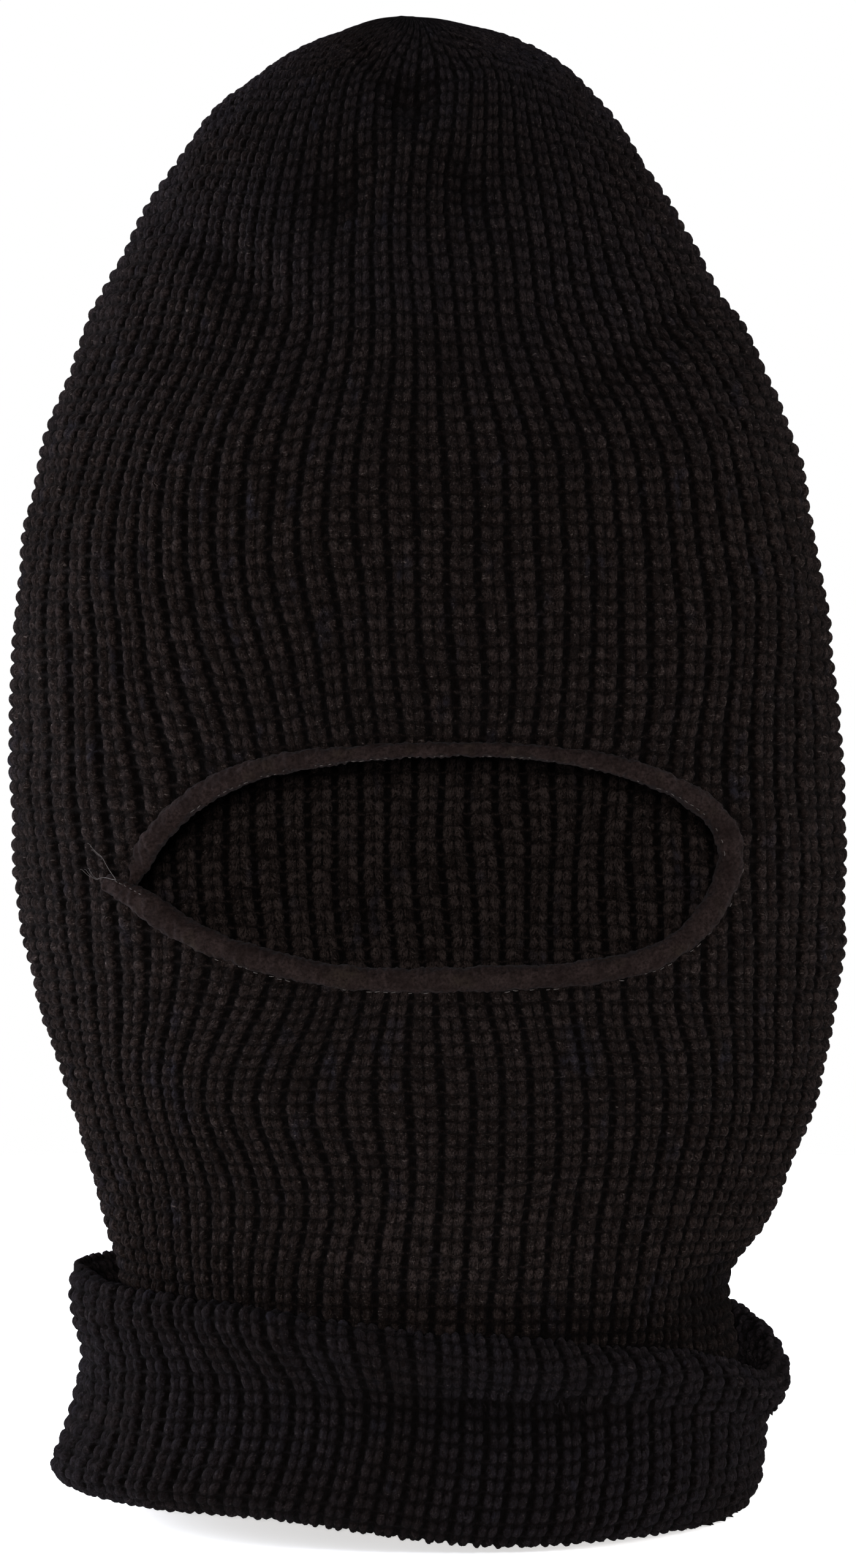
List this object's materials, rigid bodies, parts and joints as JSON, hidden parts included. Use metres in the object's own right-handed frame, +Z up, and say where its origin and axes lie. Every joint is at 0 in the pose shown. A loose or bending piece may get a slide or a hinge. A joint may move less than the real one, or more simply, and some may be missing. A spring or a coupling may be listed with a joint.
{
  "type": "balaclava",
  "caption": "Chunky rib-knit balaclava with one wide bound face opening, a gathered crown and a turned-up neck cuff that it stands on.",
  "frame": {"origin": "middle of the footprint, on the ground under the turned-up cuff", "axes": "+Z up to the crown, the face opening looks along -Y, +X to the right of someone facing the opening"},
  "size_m": [0.2044, 0.108, 0.366],
  "materials": {
    "rib_knit": "near-black acrylic rib knit with a light fuzz",
    "binding_tape": "smooth knitted tape, warm near-black",
    "sewing_thread": "dark spun thread",
    "loose_thread": "pale thread ends"
  },
  "bodies": {
    "cuff": {"neck_cuff": "rib_knit", "cuff_bindoff_edge": "rib_knit"},
    "hood": {"knit_hood": "rib_knit", "face_binding": "binding_tape", "binding_needle_thread": "sewing_thread", "binding_bobbin_thread": "sewing_thread", "binding_corner_tack": "sewing_thread", "binding_thread_tail_upper": "loose_thread", "binding_thread_tail_lower": "loose_thread", "crown_gather_yarn": "rib_knit"}
  },
  "joints": [
    {"name": "hood_draw", "type": "slide", "parent": "cuff", "child": "hood", "axis": [0, 0, 1], "range_m": [0, 0.025]}
  ]
}
